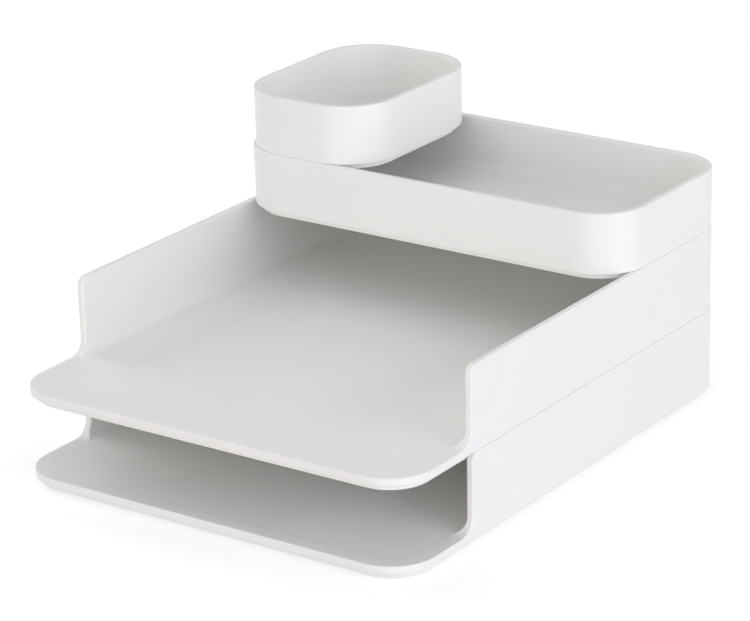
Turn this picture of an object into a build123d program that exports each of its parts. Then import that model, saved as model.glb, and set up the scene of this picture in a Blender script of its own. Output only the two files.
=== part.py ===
from build123d import *
from math import tan, radians
import os

os.makedirs("parts", exist_ok=True)

# Stacking desktop sorter: two letter trays, an accessory tray and a small bin.
# Millimetres. X across, +Y to the back, +Z up. The origin is the middle of the
# footprint, on the desk.

# Overall sizes
width = 248.0                # across the rims of the trays
wall_length = 257.5          # side walls of a letter tray, front end to back face
tongue_length = 58.5         # floor that stands out in front of the side walls
letter_height = 46.4         # underside of a letter tray's walls to its rim
accessory_depth = 118.5
accessory_height = 33.6
bin_width = 88.5
bin_height = 33.2

# Corners, seen from above
back_radius = 28.0
tongue_radius = 25.5
accessory_radius = 28.0
bin_corner_step = 3.5        # how much rounder the bin is than the tray it stands on

# Moulding
wall = 3.7
floor = 4.1
draft = 0.5                  # degrees, walls lean outwards to the rim
floor_fillet = 6.0           # floor to walls, inside
rim_round = 0.6              # outer edge of the rims, wall ends and tongue
inner_round = 1.0            # inner edge of the rims and wall ends
base_round = 0.5             # underside of the walls

# Front ends of a letter tray's side walls
top_corner = 5.0
heel_fillet = 9.0            # sweep from the wall end down to the tongue
tongue_rise = 0.1            # border of the tongue above the floor inside it

# Stacking joint: a ring under each piece drops between the walls below
ring_wall = 2.2
ring_depth = 3.4
side_clearance = 0.3         # outside of the ring to the walls below
lead_in = 0.4                # chamfer on the ring's lower edges

# Locating nubs on a letter tray's rim, with notches under the tray above
nub_length = 3.0             # at its foot
nub_proud = 0.35
nub_root = 1.5               # its foot, sunk into the rim
nub_inset = 0.9              # from both faces of the wall
nub_angle = 70.0             # degrees, slope of its two ends
notch_clearance = 0.2

# Non-slip pads, glued into shallow pockets
pad_diameter = 12.0
pad_proud = 0.6              # below the ring
pocket_depth = 0.6
pocket_clearance = 0.2       # round the pad
pad_inset = 24.0             # outer faces to a pad's centre
pad_edge = 0.5

# Heights of the four pieces, and where their middles stand
letter_depth = wall_length + tongue_length
back_y = letter_depth / 2
lower_base = pad_proud + ring_depth
upper_base = lower_base + letter_height
accessory_base = upper_base + letter_height
bin_base = accessory_base + accessory_height
accessory_y = back_y - accessory_depth / 2
bin_x = (bin_width - width) / 2

bin_radii = (accessory_radius + bin_corner_step, back_radius + bin_corner_step)
ring_inset = wall + side_clearance


def lean(height):
    """How far a wall of this height leans out."""
    return height * tan(radians(draft))


def plan(size, radii, inset):
    """Outline of a piece, with its front and back corners rounded."""
    Rectangle(size[0] - 2 * inset, size[1] - 2 * inset)
    fillet(vertices().group_by(Axis.Y)[0], radii[0] - inset)
    fillet(vertices().group_by(Axis.Y)[-1], radii[1] - inset)


def open_box(size, radii, height, x, y, base):
    """Floor and walls with draft, filleted inside."""
    with BuildSketch(Plane((x, y, base))) as outside:
        plan(size, radii, lean(height))
    extrude(outside.sketch, amount=height, taper=-draft)
    fillet(edges().group_by(Axis.Z)[0], base_round)
    with BuildSketch(Plane((x, y, base + floor))) as inside:
        plan(size, radii, wall + lean(height - floor))
    extrude(inside.sketch, amount=height - floor, taper=-draft, mode=Mode.SUBTRACT)
    fillet(edges().filter_by_position(Axis.Z, base + floor, base + floor), floor_fillet)


def open_front(base):
    """Cut the front away above the floor, which leaves the tongue and two side walls."""
    ahead = -letter_depth
    wall_end = back_y - wall_length
    tongue_top = base + floor + tongue_rise
    rim = base + letter_height
    with BuildSketch(Plane.YZ) as profile:
        with BuildLine():
            tongue = Line((ahead, tongue_top), (wall_end - heel_fillet, tongue_top))
            heel = JernArc(tongue @ 1, tongue % 1, heel_fillet, 90)
            end = Line(heel @ 1, (wall_end, rim - top_corner))
            corner = JernArc(end @ 1, end % 1, top_corner, -90)
            Polyline(corner @ 1, (wall_end + top_corner, 2 * rim), (ahead, 2 * rim), tongue @ 0)
        make_face()
    extrude(profile.sketch, amount=width, both=True, mode=Mode.SUBTRACT)


def round_rim():
    """Round the rim's inner and outer edges, and all that runs on from them."""
    along_wall = edges().group_by(Axis.Z)[-1].filter_by(Axis.Y).sort_by(Axis.X)
    fillet(along_wall[-2], inner_round)
    right_wall = faces().sort_by(Axis.X)[-1]
    fillet(right_wall.edges().sort_by(Axis.Z)[-1], rim_round)


def stacking_ring(size, radii, x, y, base):
    """Ring under the floor that locates the piece between the walls below."""
    with BuildSketch(Plane((x, y, base - ring_depth))) as ring:
        plan(size, radii, ring_inset)
        offset(amount=-ring_wall, mode=Mode.SUBTRACT)
    extrude(ring.sketch, amount=ring_depth)
    chamfer(edges().group_by(Axis.Z)[0], lead_in)


def pad_spots(size, x, y):
    """Centres of the four pads under a piece, by the name of their corner."""
    across = size[0] / 2 - pad_inset
    along = size[1] / 2 - pad_inset
    return {
        f"{end}_{side}": (x + sx * across, y + sy * along)
        for end, sy in (("front", -1), ("back", 1))
        for side, sx in (("left", -1), ("right", 1))
    }


def pad_pockets(size, x, y, base):
    """Shallow round pockets under the floor for the pads."""
    with BuildSketch(Plane((0, 0, base))) as pockets:
        with Locations(*pad_spots(size, x, y).values()):
            Circle(pad_diameter / 2 + pocket_clearance)
    extrude(pockets.sketch, amount=pocket_depth, mode=Mode.SUBTRACT)


def side_bars(bottom, top, length, inset, mode):
    """Short bar along each side wall, half way back, narrower at its top."""
    for side in (-1, 1):
        near, far = sorted((side * (width / 2 - wall + inset), side * (width / 2 - inset)))
        with BuildSketch(Plane.YZ.offset(near)) as bar:
            with Locations((0, (bottom + top) / 2)):
                Trapezoid(length, top - bottom, nub_angle)
        extrude(bar.sketch, amount=far - near, mode=mode)


def letter_tray(size, x, y, base):
    """Floor with a tongue, two side walls and a back, to take paper flat."""
    radii = (tongue_radius, back_radius)
    rim = base + letter_height
    open_box(size, radii, letter_height, x, y, base)
    open_front(base)
    round_rim()
    stacking_ring(size, radii, x, y, base)
    pad_pockets(size, x, y, base)
    side_bars(rim - nub_root, rim + nub_proud, nub_length, nub_inset, Mode.ADD)
    side_bars(base - nub_root, base + nub_proud + notch_clearance,
              nub_length + 2 * notch_clearance, -side_clearance, Mode.SUBTRACT)


def small_tray(size, radii, height, x, y, base):
    """Tray with a wall all round, to stand on another tray's rim."""
    open_box(size, radii, height, x, y, base)
    round_rim()
    stacking_ring(size, radii, x, y, base)
    pad_pockets(size, x, y, base)


# Width and depth of each piece, its middle, and the underside of its walls
places = {
    "lower_letter_tray": ((width, letter_depth), 0, 0, lower_base),
    "upper_letter_tray": ((width, letter_depth), 0, 0, upper_base),
    "accessory_tray": ((width, accessory_depth), 0, accessory_y, accessory_base),
    "small_bin": ((bin_width, accessory_depth), bin_x, accessory_y, bin_base),
}

with BuildPart() as lower_letter_tray:
    letter_tray(*places["lower_letter_tray"])
lower_letter_tray.part.label = "lower_letter_tray"
export_step(lower_letter_tray.part, "parts/lower_letter_tray.step")

with BuildPart() as upper_letter_tray:
    letter_tray(*places["upper_letter_tray"])
upper_letter_tray.part.label = "upper_letter_tray"
export_step(upper_letter_tray.part, "parts/upper_letter_tray.step")

with BuildPart() as accessory_tray:
    size, x, y, base = places["accessory_tray"]
    small_tray(size, (accessory_radius, back_radius), accessory_height, x, y, base)
accessory_tray.part.label = "accessory_tray"
export_step(accessory_tray.part, "parts/accessory_tray.step")

with BuildPart() as small_bin:
    size, x, y, base = places["small_bin"]
    small_tray(size, bin_radii, bin_height, x, y, base)
small_bin.part.label = "small_bin"
export_step(small_bin.part, "parts/small_bin.step")

# Four non-slip pads under each piece
for piece_name, (size, x, y, base) in places.items():
    for corner, (pad_x, pad_y) in pad_spots(size, x, y).items():
        with BuildPart() as pad:
            with BuildSketch(Plane((pad_x, pad_y, base - ring_depth - pad_proud))):
                Circle(pad_diameter / 2)
            extrude(amount=pad_proud + ring_depth + pocket_depth)
            fillet(edges().group_by(Axis.Z)[0], pad_edge)
        pad.part.label = f"{piece_name}_pad_{corner}"
        export_step(pad.part, f"parts/{pad.part.label}.step")
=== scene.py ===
import math
import bpy
from mathutils import Matrix, Vector


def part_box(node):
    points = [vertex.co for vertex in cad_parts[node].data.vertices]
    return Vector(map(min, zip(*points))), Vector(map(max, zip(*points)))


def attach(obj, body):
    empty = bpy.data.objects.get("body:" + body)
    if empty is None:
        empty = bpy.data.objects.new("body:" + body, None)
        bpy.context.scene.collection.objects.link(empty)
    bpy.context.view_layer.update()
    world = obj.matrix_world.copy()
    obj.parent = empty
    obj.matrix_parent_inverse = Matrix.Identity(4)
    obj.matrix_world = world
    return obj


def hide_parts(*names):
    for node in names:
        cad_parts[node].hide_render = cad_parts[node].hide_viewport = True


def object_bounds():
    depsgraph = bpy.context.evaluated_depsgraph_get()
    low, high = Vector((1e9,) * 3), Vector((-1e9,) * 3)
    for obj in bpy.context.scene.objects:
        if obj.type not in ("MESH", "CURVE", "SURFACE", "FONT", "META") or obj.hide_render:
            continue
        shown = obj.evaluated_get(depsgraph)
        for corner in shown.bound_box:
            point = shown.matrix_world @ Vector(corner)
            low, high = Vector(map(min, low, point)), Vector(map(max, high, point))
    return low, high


# A stacking desktop sorter: two letter trays, an accessory tray and a small bin,
# all in white moulded plastic. Metres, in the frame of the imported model.

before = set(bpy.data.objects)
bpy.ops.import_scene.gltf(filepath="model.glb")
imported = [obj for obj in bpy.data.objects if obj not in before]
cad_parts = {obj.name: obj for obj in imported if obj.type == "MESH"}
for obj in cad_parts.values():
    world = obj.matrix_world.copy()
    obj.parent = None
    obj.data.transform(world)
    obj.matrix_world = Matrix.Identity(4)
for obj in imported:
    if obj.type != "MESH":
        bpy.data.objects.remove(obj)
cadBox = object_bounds()
mm = 0.001
trays = ["lower_letter_tray", "upper_letter_tray", "accessory_tray", "small_bin"]
corners = ["front_left", "front_right", "back_left", "back_right"]
pads = {tray: [f"{tray}_pad_{corner}" for corner in corners] for tray in trays}
print("frame loaded:", len(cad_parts), "nodes")


# Nodes and colours

def linearColor(hexColor):
    channels = [int(hexColor[i:i + 2], 16) / 255 for i in (1, 3, 5)]
    return [c / 12.92 if c <= 0.04045 else ((c + 0.055) / 1.055) ** 2.4 for c in channels] + [1.0]


def addNode(tree, kind, settings=None, links=None):
    node = tree.nodes.new(kind)
    for key, value in (settings or {}).items():
        if isinstance(key, str) and hasattr(node, key):
            setattr(node, key, value)
        else:
            node.inputs[key].default_value = value
    for key, source in (links or {}).items():
        tree.links.new(source, node.inputs[key])
    return node


def newMaterial(name):
    material = bpy.data.materials.new(name)
    material.use_nodes = True
    material.node_tree.nodes.clear()
    return material, material.node_tree


# Acrylonitrile butadiene styrene, injection moulded in a spark-eroded mould: an even, faintly
# warm white with a satin sheen, and a fine soft grain that breaks the highlights up
satinAbs = {
    "color": "#F4F4F2",
    "shadeColor": "#F2F2F0",
    "flow": 45,           # mm, broad and very faint mottling where the melt flowed
    "flowDetail": 3.0,
    "flowEdges": (0.3, 0.7),
    "roughness": 0.42,
    "roughnessSpread": 0.05,
    "ior": 1.54,
    "grain": 0.9,         # mm, drawn coarser than a real grain so that it shows
    "grainDetail": 2.0,
    "grainRoughness": 0.6,
    "grainDepth": 0.012,  # mm
}


def makeSatinAbs():
    values = satinAbs
    material, tree = newMaterial("satinAbs")
    position = addNode(tree, "ShaderNodeTexCoord").outputs["Object"]
    flow = addNode(tree, "ShaderNodeTexNoise",
                   {"Scale": 1 / (values["flow"] * mm), "Detail": values["flowDetail"]},
                   {"Vector": position})
    grain = addNode(tree, "ShaderNodeTexNoise",
                    {"Scale": 1 / (values["grain"] * mm), "Detail": values["grainDetail"],
                     "Roughness": values["grainRoughness"]},
                    {"Vector": position})
    bump = addNode(tree, "ShaderNodeBump", {"Strength": 1.0, "Distance": values["grainDepth"] * mm},
                   {"Height": grain.outputs["Fac"]})
    ramp = addNode(tree, "ShaderNodeValToRGB", {}, {"Fac": flow.outputs["Fac"]})
    for i, color in enumerate(("shadeColor", "color")):
        ramp.color_ramp.elements[i].position = values["flowEdges"][i]
        ramp.color_ramp.elements[i].color = linearColor(values[color])
    spread = values["roughnessSpread"]
    roughness = addNode(tree, "ShaderNodeMapRange",
                        {"To Min": values["roughness"] - spread,
                         "To Max": values["roughness"] + spread},
                        {"Value": grain.outputs["Fac"]})
    shader = addNode(tree, "ShaderNodeBsdfPrincipled", {"IOR": values["ior"]},
                     {"Base Color": ramp.outputs["Color"], "Roughness": roughness.outputs["Result"],
                      "Normal": bump.outputs["Normal"]})
    addNode(tree, "ShaderNodeOutputMaterial", {}, {"Surface": shader.outputs["BSDF"]})
    return material


# Styrene-butadiene rubber, compression moulded: a matt mid grey with a fine powdery bloom
padRubber = {
    "color": "#9FA0A1",
    "bloomColor": "#ACADAE",
    "bloom": 1.2,         # mm
    "bloomDetail": 3.0,
    "roughness": 0.85,
    "ior": 1.52,
    "grain": 0.35,        # mm
    "grainDetail": 2.0,
    "grainDepth": 0.02,   # mm
}


def makePadRubber():
    values = padRubber
    material, tree = newMaterial("padRubber")
    position = addNode(tree, "ShaderNodeTexCoord").outputs["Object"]
    bloom = addNode(tree, "ShaderNodeTexNoise",
                    {"Scale": 1 / (values["bloom"] * mm), "Detail": values["bloomDetail"]},
                    {"Vector": position})
    ramp = addNode(tree, "ShaderNodeValToRGB", {}, {"Fac": bloom.outputs["Fac"]})
    for i, color in enumerate(("color", "bloomColor")):
        ramp.color_ramp.elements[i].color = linearColor(values[color])
    grain = addNode(tree, "ShaderNodeTexNoise",
                    {"Scale": 1 / (values["grain"] * mm), "Detail": values["grainDetail"]},
                    {"Vector": position})
    bump = addNode(tree, "ShaderNodeBump", {"Strength": 1.0, "Distance": values["grainDepth"] * mm},
                   {"Height": grain.outputs["Fac"]})
    shader = addNode(tree, "ShaderNodeBsdfPrincipled",
                     {"Roughness": values["roughness"], "IOR": values["ior"]},
                     {"Base Color": ramp.outputs["Color"], "Normal": bump.outputs["Normal"]})
    addNode(tree, "ShaderNodeOutputMaterial", {}, {"Surface": shader.outputs["BSDF"]})
    return material


plastic = makeSatinAbs()
rubber = makePadRubber()
for name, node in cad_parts.items():
    node.data.materials.clear()
    node.data.materials.append(plastic if name in trays else rubber)
print("materials made")


# Geometry Nodes: a tree is built from its inputs, then run on an object and turned into a mesh

def newTree(name, inputs):
    tree = bpy.data.node_groups.new(name, "GeometryNodeTree")
    tree.interface.new_socket("Geometry", in_out="INPUT", socket_type="NodeSocketGeometry")
    for inputName, kind in inputs.items():
        tree.interface.new_socket(inputName, in_out="INPUT", socket_type="NodeSocket" + kind)
    tree.interface.new_socket("Geometry", in_out="OUTPUT", socket_type="NodeSocketGeometry")
    return tree, addNode(tree, "NodeGroupInput").outputs


def runTree(tree, name, startMesh, values):
    holder = bpy.data.objects.new(name + "Start", startMesh)
    bpy.context.scene.collection.objects.link(holder)
    modifier = holder.modifiers.new("nodes", "NODES")
    modifier.node_group = tree
    for socket in tree.interface.items_tree:
        if socket.in_out == "INPUT" and socket.name in values:
            modifier[socket.identifier] = values[socket.name]
    evaluated = holder.evaluated_get(bpy.context.evaluated_depsgraph_get())
    mesh = bpy.data.meshes.new_from_object(evaluated)
    holder.modifiers.remove(modifier)
    bpy.data.objects.remove(holder)
    mesh.materials.clear()
    mesh.materials.append(values["Material"])
    mesh.polygons.foreach_set("material_index", [0] * len(mesh.polygons))
    piece = bpy.data.objects.new(name, mesh)
    bpy.context.scene.collection.objects.link(piece)
    return piece


# Pads: one turned outline, set out at four corners under each piece
padShape = {
    "edge": 0.5,          # mm, rounding of the lower and upper edges
    "edgeSteps": 5,
    "treads": 3,          # round grooves under the pad, which make it grip
    "treadWidth": 0.55,
    "treadFlat": 0.6,     # share of a groove's width that is flat at its bottom
    "treadDepth": 0.25,
    "treadStart": 1.6,    # mm from the middle to the first groove
    "treadPitch": 1.35,
    "segments": 56,
    "merge": 0.01,        # mm, joins the points that meet in the middle of each face
    "sharpAngle": 35,     # degrees
}


def padOutline(radius, height):
    values = padShape
    edge = values["edge"]
    points = [(0.0, 0.0)]
    for i in range(values["treads"]):
        middle = values["treadStart"] + i * values["treadPitch"]
        half = values["treadWidth"] / 2
        flat = values["treadFlat"]
        for step, depth in ((-1, 0), (-flat, 1), (flat, 1), (1, 0)):
            points.append((middle + step * half, depth * values["treadDepth"]))
    for corner, start in ((edge, 270), (height - edge, 0)):
        for i in range(values["edgeSteps"] + 1):
            angle = math.radians(start + 90 * i / values["edgeSteps"])
            points.append((radius - edge + edge * math.cos(angle), corner + edge * math.sin(angle)))
    points.append((0.0, height))
    mesh = bpy.data.meshes.new("padOutline")  # measured from the rim of the pad, height downwards
    mesh.from_pydata([((r - radius) * mm, -z * mm, 0) for r, z in points],
                     [(i, i + 1) for i in range(len(points) - 1)], [])
    return mesh


def makePadTree():
    tree, inputs = newTree("turnedPads", {"Radius": "Float", "Segments": "Int", "Across": "Float",
                                          "Along": "Float", "Centre": "Vector",
                                          "Material": "Material"})
    outline = addNode(tree, "GeometryNodeMeshToCurve", {}, {"Mesh": inputs["Geometry"]})
    path = addNode(tree, "GeometryNodeCurvePrimitiveCircle", {},
                   {"Resolution": inputs["Segments"], "Radius": inputs["Radius"]})
    turned = addNode(tree, "GeometryNodeCurveToMesh", {},
                     {"Curve": path.outputs["Curve"], "Profile Curve": outline.outputs["Curve"]})
    closed = addNode(tree, "GeometryNodeMergeByDistance", {"Distance": padShape["merge"] * mm},
                     {"Geometry": turned.outputs["Mesh"]})
    outward = addNode(tree, "GeometryNodeFlipFaces", {}, {"Mesh": closed.outputs["Geometry"]})
    spots = addNode(tree, "GeometryNodeMeshGrid", {"Vertices X": 2, "Vertices Y": 2},
                    {"Size X": inputs["Across"], "Size Y": inputs["Along"]})
    placed = addNode(tree, "GeometryNodeSetPosition", {},
                     {"Geometry": spots.outputs["Mesh"], "Offset": inputs["Centre"]})
    copies = addNode(tree, "GeometryNodeInstanceOnPoints", {},
                     {"Points": placed.outputs["Geometry"], "Instance": outward.outputs["Mesh"]})
    real = addNode(tree, "GeometryNodeRealizeInstances", {},
                   {"Geometry": copies.outputs["Instances"]})
    coated = addNode(tree, "GeometryNodeSetMaterial", {},
                     {"Geometry": real.outputs["Geometry"], "Material": inputs["Material"]})
    addNode(tree, "NodeGroupOutput", {}, {"Geometry": coated.outputs["Geometry"]})
    return tree


def smoothByAngle(mesh, degrees):
    mesh.shade_smooth()
    mesh.set_sharp_from_angle(angle=math.radians(degrees))


def makePads():
    tree = makePadTree()
    for tray in trays:
        boxes = [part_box(pad) for pad in pads[tray]]
        low = Vector([min(box[0][i] for box in boxes) for i in range(3)])
        high = Vector([max(box[1][i] for box in boxes) for i in range(3)])
        radius = (boxes[0][1][0] - boxes[0][0][0]) / 2
        height = high.z - low.z
        middle = (low + high) / 2
        piece = runTree(tree, tray + "_pads", padOutline(radius / mm, height / mm), {
            "Radius": radius, "Segments": padShape["segments"],
            "Across": high.x - low.x - 2 * radius, "Along": high.y - low.y - 2 * radius,
            "Centre": (middle.x, middle.y, low.z), "Material": rubber})
        smoothByAngle(piece.data, padShape["sharpAngle"])
        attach(piece, tray)
        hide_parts(*pads[tray])


makePads()
print("pads turned")


# Marks of the mould under each floor: rings where the ejector pins pushed, and the gate's stub
mouldMarks = {
    "pinRadius": 4.0,     # mm
    "burr": 0.35,         # radius of the fine round edge that a pin leaves
    "pinPitch": 62,       # about as far apart as this
    "margin": 34,         # from the tray's outside to the outermost pins
    "gateRadius": 1.6,
    "gateTip": 1.1,
    "gateHeight": 0.8,
    "gateSunk": 0.25,     # share of its height that is in the floor
    "pocketDepth": 0.6,   # pads are this deep in the floor
    "segments": 40,
    "burrSegments": 8,
    "sharpAngle": 50,     # degrees
}


def makeMarksTree():
    tree, inputs = newTree("mouldMarks", {
        "Across": "Float", "Along": "Float", "Pins Across": "Int", "Pins Along": "Int",
        "Centre": "Vector", "Pin Radius": "Float", "Burr": "Float", "Gate Radius": "Float",
        "Gate Tip": "Float", "Gate Height": "Float", "Material": "Material"})
    pin = addNode(tree, "GeometryNodeCurvePrimitiveCircle",
                  {"Resolution": mouldMarks["segments"]}, {"Radius": inputs["Pin Radius"]})
    section = addNode(tree, "GeometryNodeCurvePrimitiveCircle",
                      {"Resolution": mouldMarks["burrSegments"]}, {"Radius": inputs["Burr"]})
    burr = addNode(tree, "GeometryNodeCurveToMesh", {},
                   {"Curve": pin.outputs["Curve"], "Profile Curve": section.outputs["Curve"]})
    spots = addNode(tree, "GeometryNodeMeshGrid", {},
                    {"Size X": inputs["Across"], "Size Y": inputs["Along"],
                     "Vertices X": inputs["Pins Across"], "Vertices Y": inputs["Pins Along"]})
    copies = addNode(tree, "GeometryNodeInstanceOnPoints", {},
                     {"Points": spots.outputs["Mesh"], "Instance": burr.outputs["Mesh"]})
    gate = addNode(tree, "GeometryNodeMeshCone", {"Vertices": mouldMarks["segments"]},
                   {"Radius Top": inputs["Gate Radius"], "Radius Bottom": inputs["Gate Tip"],
                    "Depth": inputs["Gate Height"]})
    lowered = addNode(tree, "ShaderNodeCombineXYZ", {}, {
        "Z": addNode(tree, "ShaderNodeMath",
                     {"operation": "MULTIPLY", 1: mouldMarks["gateSunk"] - 1},
                     {0: inputs["Gate Height"]}).outputs["Value"]})
    stub = addNode(tree, "GeometryNodeSetPosition", {},
                   {"Geometry": gate.outputs["Mesh"], "Offset": lowered.outputs["Vector"]})
    joined = addNode(tree, "GeometryNodeJoinGeometry")
    tree.links.new(copies.outputs["Instances"], joined.inputs["Geometry"])
    tree.links.new(stub.outputs["Geometry"], joined.inputs["Geometry"])
    real = addNode(tree, "GeometryNodeRealizeInstances", {},
                   {"Geometry": joined.outputs["Geometry"]})
    placed = addNode(tree, "GeometryNodeSetPosition", {},
                     {"Geometry": real.outputs["Geometry"], "Offset": inputs["Centre"]})
    coated = addNode(tree, "GeometryNodeSetMaterial", {},
                     {"Geometry": placed.outputs["Geometry"], "Material": inputs["Material"]})
    addNode(tree, "NodeGroupOutput", {}, {"Geometry": coated.outputs["Geometry"]})
    return tree


def makeMarks():
    values = mouldMarks
    tree = makeMarksTree()
    for tray in trays:
        low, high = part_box(tray)
        size = high - low
        middle = (low + high) / 2
        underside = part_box(pads[tray][0])[1][2] - values["pocketDepth"] * mm
        across, along = (size[i] - 2 * values["margin"] * mm for i in (0, 1))
        piece = runTree(tree, tray + "_marks", bpy.data.meshes.new("empty"), {
            "Across": across, "Along": along,
            "Pins Across": max(2, round(across / (values["pinPitch"] * mm)) + 1),
            "Pins Along": max(2, round(along / (values["pinPitch"] * mm)) + 1),
            "Centre": (middle[0], middle[1], underside),
            "Pin Radius": values["pinRadius"] * mm, "Burr": values["burr"] * mm,
            "Gate Radius": values["gateRadius"] * mm, "Gate Tip": values["gateTip"] * mm,
            "Gate Height": values["gateHeight"] * mm, "Material": plastic})
        smoothByAngle(piece.data, values["sharpAngle"])
        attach(piece, tray)


makeMarks()
print("mould marks added")


# Floor, light and camera

studio = {
    "floorSize": 60.0,
    "floorColor": "#FAFAFA",
    "floorRoughness": 0.9,
    "floorGlow": 0.3,
    "overhead": 0.54,     # strength of the light from above, and of the light thrown up from below
    "underfoot": 0.52,
    "horizon": 0.03,      # how softly one turns into the other
}
lights = {  # degrees round from the front and up, metres, watts
    "rightSoftbox": {"azimuth": 85, "elevation": 10, "distance": 1.6, "size": 1.2, "power": 11.8,
                     "color": "#F2F3FF"},
    "frontSoftbox": {"azimuth": 5, "elevation": 8, "distance": 1.6, "size": 1.2, "power": 7.8,
                     "color": "#FFF6F4"},
    "leftSoftbox": {"azimuth": -92, "elevation": 32, "distance": 1.6, "size": 0.8, "power": 5.0,
                    "color": "#FFFFFF"},
    "backSoftbox": {"azimuth": 180, "elevation": 40, "distance": 1.6, "size": 1.2, "power": 1.8,
                    "color": "#FFFFFF"},
}


def direction(azimuth, elevation):
    a, e = math.radians(azimuth), math.radians(elevation)
    return Vector((math.sin(a) * math.cos(e), -math.cos(a) * math.cos(e), math.sin(e)))


def addFloor():
    half = studio["floorSize"] / 2
    mesh = bpy.data.meshes.new("floor")
    mesh.from_pydata([(-half, -half, 0), (half, -half, 0), (half, half, 0), (-half, half, 0)], [],
                     [(0, 1, 2, 3)])
    floor = bpy.data.objects.new("floor", mesh)
    bpy.context.scene.collection.objects.link(floor)
    material, tree = newMaterial("paleFloor")
    shader = addNode(tree, "ShaderNodeBsdfPrincipled",
                     {"Base Color": linearColor(studio["floorColor"]),
                      "Roughness": studio["floorRoughness"],
                      "Emission Color": (1, 1, 1, 1), "Emission Strength": studio["floorGlow"]})
    addNode(tree, "ShaderNodeOutputMaterial", {}, {"Surface": shader.outputs["BSDF"]})
    mesh.materials.append(material)
    floor.visible_diffuse = False  # the light from below comes from the surround
    floor.visible_shadow = False


def addSurround():
    world = bpy.data.worlds.new("studio")
    world.use_nodes = True
    tree = world.node_tree
    tree.nodes.clear()
    towards = addNode(tree, "ShaderNodeTexCoord").outputs["Generated"]
    height = addNode(tree, "ShaderNodeSeparateXYZ", {}, {"Vector": towards}).outputs["Z"]
    strength = addNode(tree, "ShaderNodeMapRange",
                       {"From Min": -studio["horizon"], "From Max": studio["horizon"],
                        "To Min": studio["underfoot"], "To Max": studio["overhead"]},
                       {"Value": height})
    background = addNode(tree, "ShaderNodeBackground", {"Color": (1, 1, 1, 1)},
                         {"Strength": strength.outputs["Result"]})
    addNode(tree, "ShaderNodeOutputWorld", {}, {"Surface": background.outputs["Background"]})
    bpy.context.scene.world = world


def addLights(middle):
    for name, values in lights.items():
        data = bpy.data.lights.new(name, "AREA")
        data.energy = values["power"]
        data.size = values["size"]
        data.color = linearColor(values["color"])[:3]
        light = bpy.data.objects.new(name, data)
        towards = direction(values["azimuth"], values["elevation"])
        light.location = middle + towards * values["distance"]
        light.rotation_euler = towards.to_track_quat("Z", "Y").to_euler()
        bpy.context.scene.collection.objects.link(light)


camera = {
    "azimuth": 35.338,   # degrees round from the front, to the right
    "elevation": 20.427,
    "roll": -1.544,
    "distance": 1.7726,  # metres, from the middle of the sorter's box
    "lens": 160.5,       # mm
    "sensor": 36,        # mm wide
    "aimRight": -2.3,    # mm off the middle, in the picture's plane
    "aimUp": -10.93,
    "near": 0.05,        # metres
    "far": 100,
}


def addCamera(middle):
    back = direction(camera["azimuth"], camera["elevation"])
    level = back.to_track_quat("Z", "Y").to_matrix()
    aim = middle + level @ Vector((camera["aimRight"], camera["aimUp"], 0)) * mm
    turn = level @ Matrix.Rotation(math.radians(camera["roll"]), 3, "Z")
    data = bpy.data.cameras.new("camera")
    data.lens = camera["lens"]
    data.sensor_width = camera["sensor"]
    data.clip_start, data.clip_end = camera["near"], camera["far"]
    viewer = bpy.data.objects.new("camera", data)
    viewer.matrix_world = Matrix.Translation(aim + back * camera["distance"]) @ turn.to_4x4()
    bpy.context.scene.collection.objects.link(viewer)
    bpy.context.scene.camera = viewer


middle = (cadBox[0] + cadBox[1]) / 2
addFloor()
addSurround()
addLights(middle)
addCamera(middle)
bpy.context.scene.view_settings.view_transform = "Standard"
print("studio set up")
